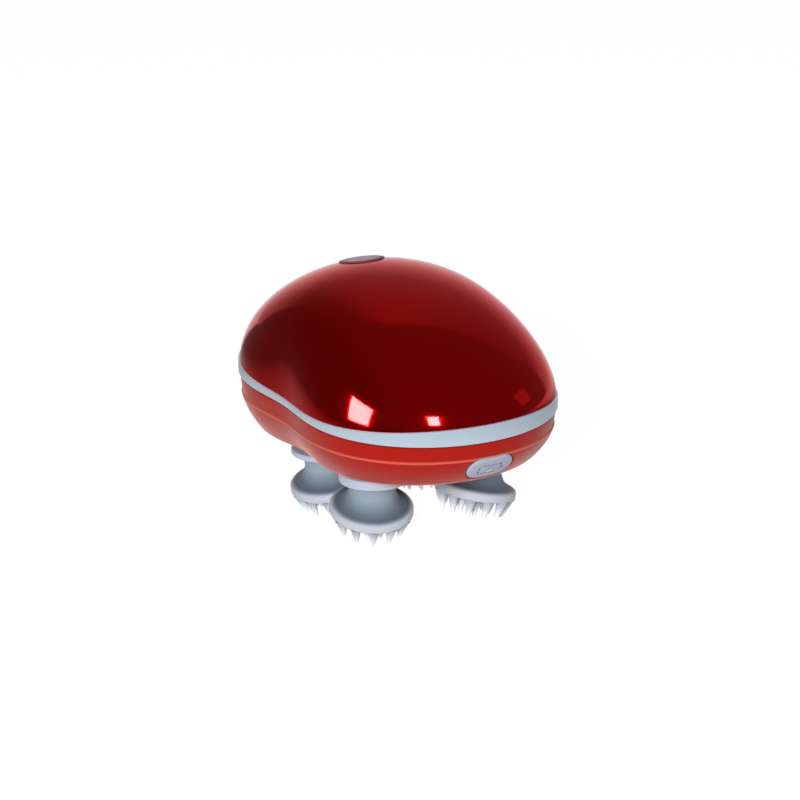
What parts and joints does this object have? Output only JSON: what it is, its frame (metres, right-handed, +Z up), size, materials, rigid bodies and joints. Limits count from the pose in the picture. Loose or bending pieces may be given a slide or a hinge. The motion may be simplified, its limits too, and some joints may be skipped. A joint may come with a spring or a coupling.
{
  "type": "electric scalp massager",
  "caption": "Handheld oval scalp massager: a domed two-tone body with turning silicone heads below, a top power button and a charging port under a flap.",
  "frame": {"origin": "centre of the outline's box, on the surface that the lowest prong tips stand on", "axes": "+X is the width, -Y points to the nose with the charging port, +Z is up through the crown"},
  "size_m": [0.0858, 0.1252, 0.0846],
  "materials": {
    "red_gloss": "deep glossy red moulding",
    "red_satin": "orange-red satin moulding",
    "silver_trim": "pale blue-silver painted trim",
    "button_red": "glossy red cap",
    "dark_trim": "dark moulded trim",
    "grey_silicone": "soft blue-grey silicone",
    "pale_plastic": "pale grey moulding",
    "flap_rubber": "pale grey soft moulding",
    "acetal_white": "natural acetal",
    "nylon_grey": "filled nylon frame",
    "steel": "ground steel",
    "sinter_bronze": "oil-filled bronze",
    "black_rubber": "black sealing rubber",
    "board_green": "coated circuit board",
    "cell_wrap": "shrink-wrapped cell",
    "switch_black": "moulded switch body"
  },
  "bodies": {
    "housing": {"upper_shell": "red_gloss", "belt_ring": "silver_trim", "lower_shell": "red_satin", "shell_seal": "black_rubber", "button_bezel": "dark_trim", "tact_switch": "switch_black", "control_board": "board_green", "board_screws": "steel", "gearbox_floor": "nylon_grey", "gearbox_roof": "nylon_grey", "lower_bushes": "sinter_bronze", "upper_bushes": "sinter_bronze", "wheel_spindles": "steel", "gearbox_screws": "steel", "shell_screws": "steel", "drive_seals": "black_rubber", "motor_can": "steel", "battery_cell": "cell_wrap", "charge_board": "board_green", "charge_socket": "steel", "flap_anchor": "flap_rubber"},
    "button": {"power_button": "button_red", "switch_plunger": "switch_black"},
    "flap": {"usb_flap": "flap_rubber"},
    "motor_rotor": {"motor_pinion": "steel"},
    "idler": {"reduction_gear": "acetal_white"},
    "centre_wheel": {"centre_gear": "acetal_white"},
    "head_front_left": {"turntable_front_left": "pale_plastic", "output_shaft_front_left": "steel", "output_gear_front_left": "acetal_white", "head_core_front_left": "nylon_grey", "massage_head_front_left": "grey_silicone"},
    "head_front_right": {"turntable_front_right": "pale_plastic", "output_shaft_front_right": "steel", "output_gear_front_right": "acetal_white", "head_core_front_right": "nylon_grey", "massage_head_front_right": "grey_silicone"},
    "head_rear_right": {"turntable_rear_right": "pale_plastic", "output_shaft_rear_right": "steel", "output_gear_rear_right": "acetal_white", "head_core_rear_right": "nylon_grey", "massage_head_rear_right": "grey_silicone"},
    "head_rear_left": {"turntable_rear_left": "pale_plastic", "output_shaft_rear_left": "steel", "output_gear_rear_left": "acetal_white", "head_core_rear_left": "nylon_grey", "massage_head_rear_left": "grey_silicone"}
  },
  "joints": [
    {"name": "button_press", "type": "slide", "parent": "housing", "child": "button", "axis": [0, -0.2147, -0.9767], "range_m": [0, 0.0006], "stiffness_N_per_m": 2500},
    {"name": "flap_swing", "type": "hinge", "parent": "housing", "child": "flap", "pos_m": [0, -0.05647, 0.02902], "axis": [1, 0, 0], "range_deg": [0, 105]},
    {"name": "turn_front_left", "type": "hinge", "parent": "housing", "child": "head_front_left", "pos_m": [-0.0209, -0.02177, 0.0211], "axis": [0, 0, 1], "continuous": true},
    {"name": "turn_front_right", "type": "hinge", "parent": "housing", "child": "head_front_right", "pos_m": [0.0209, -0.02177, 0.0211], "axis": [0, 0, 1], "continuous": true},
    {"name": "turn_rear_right", "type": "hinge", "parent": "housing", "child": "head_rear_right", "pos_m": [0.0209, 0.00917, 0.0211], "axis": [0, 0, 1], "continuous": true},
    {"name": "turn_rear_left", "type": "hinge", "parent": "housing", "child": "head_rear_left", "pos_m": [-0.0209, 0.00917, 0.0211], "axis": [0, 0, 1], "continuous": true},
    {"name": "turn_centre", "type": "hinge", "parent": "housing", "child": "centre_wheel", "pos_m": [0, -0.0063, 0.03], "axis": [0, 0, 1], "continuous": true},
    {"name": "turn_idler", "type": "hinge", "parent": "housing", "child": "idler", "pos_m": [0, 0.0129, 0.03], "axis": [0, 0, 1], "continuous": true},
    {"name": "turn_motor", "type": "hinge", "parent": "housing", "child": "motor_rotor", "pos_m": [0, 0.0291, 0.03], "axis": [0, 0, 1], "continuous": true}
  ],
  "couplings": [
    {"joint": "turn_front_right", "follows": "turn_front_left", "ratio": 1},
    {"joint": "turn_rear_right", "follows": "turn_front_left", "ratio": 1},
    {"joint": "turn_rear_left", "follows": "turn_front_left", "ratio": 1},
    {"joint": "turn_centre", "follows": "turn_front_left", "ratio": -0.73333},
    {"joint": "turn_idler", "follows": "turn_front_left", "ratio": 3.1778},
    {"joint": "turn_motor", "follows": "turn_front_left", "ratio": -11.122}
  ]
}
